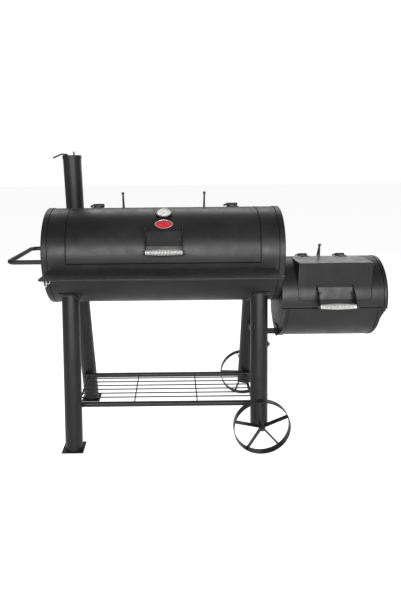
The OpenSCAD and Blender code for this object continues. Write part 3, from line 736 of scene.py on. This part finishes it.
def leg_welds():
    """Beads round the leg tops and along the edges of the saddles under the barrel."""
    saddle_low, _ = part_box("leg_saddles")
    shape = Shape()
    for leg in ("leg_rear_left", "leg_front_left", "leg_rear_right", "leg_front_right"):
        shape.bead(leg_top(leg, BARREL_Z - saddle_low.z), 3.0 * MM, closed=True)
    left_low, left_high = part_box("leg_rear_left")
    saddle_half = (left_low.x + left_high.x) / 2 - saddle_low.x
    start, sweep, steps = 222, 96, 110
    radius = BARREL_R + 1.2 * MM
    for leg in ("leg_rear_left", "leg_rear_right"):
        low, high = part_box(leg)
        x = (low.x + high.x) / 2
        for edge in (x - saddle_half, x + saddle_half):
            arc = [on_drum(edge, start + sweep * k / steps, radius, BARREL_Z) for k in range(steps + 1)]
            shape.bead(arc, 2.4 * MM)
    shape.make("leg_welds", ["weld"], "frame")


def split_rims():
    """Rolled rims along the front and rear edges where the firebox shell ends above the drawer."""
    e = math.degrees(math.asin((fire_low.z - FIRE_Z) / FIRE_R))
    shape = Shape()
    for elevation in (e + 0.6, 180 - e - 0.6):
        left, right = [on_drum(x, elevation, FIRE_R - 0.6 * MM, FIRE_Z)
                       for x in (fire_low.x + 3 * MM, fire_high.x - 3 * MM)]
        shape.sweep([left.lerp(right, k / 12) for k in range(13)], 2.4 * MM, 10)
    shape.make("firebox_split_rims", ["black_paint"], "frame")


def seam_gap_shadows():
    """Near-black lines of painted shadow over the narrow gaps along the seams of the barrel, the firebox and
    the drawer.
    """
    fixed = Shape()
    lid_low, lid_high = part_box("lid_shell")
    left_cap_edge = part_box("end_cap_left")[1].x
    right_cap_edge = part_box("end_cap_right")[0].x
    for x in (lid_low.x - SEAM_OFFSET, lid_high.x + SEAM_OFFSET):
        fixed.seam_ring(x, BARREL_R, BARREL_Z, 0.0, 101)
    fixed.level_line(lid_low.x - 2.7 * MM, lid_high.x + 2.7 * MM, -0.7, BARREL_R, BARREL_Z, 4.0 * MM)
    for x in (left_cap_edge + 1.2 * MM, right_cap_edge - 1.2 * MM):
        fixed.seam_ring(x, BARREL_R, BARREL_Z, -150, 210)
    fixed.seam_ring(fire_high.x - FLANGE_DEPTH - SEAM_OFFSET, FIRE_R, FIRE_Z, 0.0, 180)
    # painted shadow: dark strips on the shell just above its lower rims, where the split between shell and
    # drawer falls in shade
    split = math.degrees(math.asin((fire_low.z - FIRE_Z) / FIRE_R)) + 1.7
    for elevation in (split, 180 - split):
        fixed.level_line(fire_low.x + 2 * MM, fire_high.x - 1 * MM, elevation, FIRE_R, FIRE_Z, 3.4 * MM)
    fixed.make("seam_gap_shadows", ["painted_gap_shadow"], "frame")
    moving = Shape()
    for x in (drawer_high.x - FLANGE_DEPTH - SEAM_OFFSET, drawer_low.x + LEFT_FLANGE_DEPTH + SEAM_OFFSET):
        moving.seam_ring(x, DRAWER_R, FIRE_Z, -6, -174)
    moving.make("drawer_seam_gap_shadows", ["painted_gap_shadow"], "drawer")


def bezel_painted_shade():
    """Four overlapping tubes round the side of the thermometer bezel in the painted-shadow finish: a dark
    sleeve of painted shade on the bezel's side.
    """
    rim_low, rim_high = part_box("thermometer_bezel")
    radius = (rim_high.x - rim_low.x) / 2 - 0.3 * MM
    shape = Shape()
    for lift in (-3, -1.2, 0.6, 2.4):
        ring = circle(dial_middle + dial_out * lift * MM, dial_right, dial_out.cross(dial_right), radius, 72)
        shape.sweep(ring, 1.15 * MM, closed=True)
    shape.make("bezel_painted_shade", ["painted_gap_shadow"], "main_lid")


def leaf_rivets(name, node, body, half_leaf, radius, axis_z):
    """Two round-headed rivets on each of the two hinge leaves of a lid."""
    low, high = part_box(node)
    shape = Shape()
    elevation = 94
    for x in (low.x + half_leaf, high.x - half_leaf):
        for offset in (-0.6 * half_leaf, 0.6 * half_leaf):
            place = on_drum(x + offset, elevation, radius, axis_z)
            shape.dome(place, drum_normal(elevation), 4.5 * MM)
    shape.make(name, ["dark_steel"], body)


seam_gap_shadows()
stack_weld()
pull_handle_welds()
bezel_painted_shade()
leaf_rivets("main_lid_rivets", "lid_hinge_leaves", "main_lid", 27 * MM, BARREL_R + 4 * MM, BARREL_Z)
leaf_rivets("firebox_lid_rivets", "firebox_lid_leaves", "fire_lid", 22 * MM, FIRE_R + 3 * MM, FIRE_Z)
leg_welds()
split_rims()

# ---- studio ----


def soft_light(name, place, aim, width, height, power):
    """A soft rectangular lamp that the camera doesn't see."""
    light = bpy.data.lights.new(name, "AREA")
    light.shape = "RECTANGLE"
    light.size = width
    light.size_y = height
    light.energy = power
    holder = put(name, light)
    holder.location = place
    holder.rotation_euler = (Vector(aim) - Vector(place)).to_track_quat("-Z", "Y").to_euler()
    holder.visible_camera = False


def brighten(nodes, links, socket, lit, seen):
    """Gives a stage surface the strength lit for the object's light and seen for the camera."""
    ray = nodes.new("ShaderNodeLightPath")
    strength = nodes.new("ShaderNodeMapRange")
    strength.inputs["To Min"].default_value = lit
    strength.inputs["To Max"].default_value = seen
    links.new(ray.outputs["Is Camera Ray"], strength.inputs["Value"])
    links.new(strength.outputs["Result"], socket)


floor_mesh = bpy.data.meshes.new("floor")
reach = 40
floor_mesh.from_pydata([(-reach, -reach, 0), (reach, -reach, 0), (reach, reach, 0), (-reach, reach, 0)],
                       [], [(0, 1, 2, 3)])
floor = put("floor", floor_mesh)
floor_finish, floor_nodes, floor_links, floor_shader = new_material("pale_floor")
floor_shader.inputs["Base Color"].default_value = (0.9, 0.9, 0.9, 1)
floor_shader.inputs["Roughness"].default_value = 0.9
floor_shader.inputs["Specular IOR Level"].default_value = 0.1
floor_shader.inputs["Emission Color"].default_value = (1, 1, 1, 1)
brighten(floor_nodes, floor_links, floor_shader.inputs["Emission Strength"], 0.30, 0.75)
floor_mesh.materials.append(floor_finish)

world = bpy.data.worlds.new("studio")
world.use_nodes = True
sky = world.node_tree
backdrop = sky.nodes["Background"]
backdrop.inputs["Color"].default_value = (1, 1, 1, 1)
brighten(sky.nodes, sky.links, backdrop.inputs["Strength"], 0.22, 1.0)
bpy.context.scene.world = world
bpy.context.scene.view_settings.view_transform = "Standard"

soft_light("front_softbox", (0.2, -4.2, 2.35), (0, 0, 0.95), 5.0, 1.15, 230)
soft_light("rear_softbox", (0, 2.6, 3.4), (0, 0, 0.9), 5.0, 1.4, 60)
soft_light("side_softbox", (1.75, 3.2, 1.55), (0.65, 0, 0.95), 1.3, 0.9, 8)
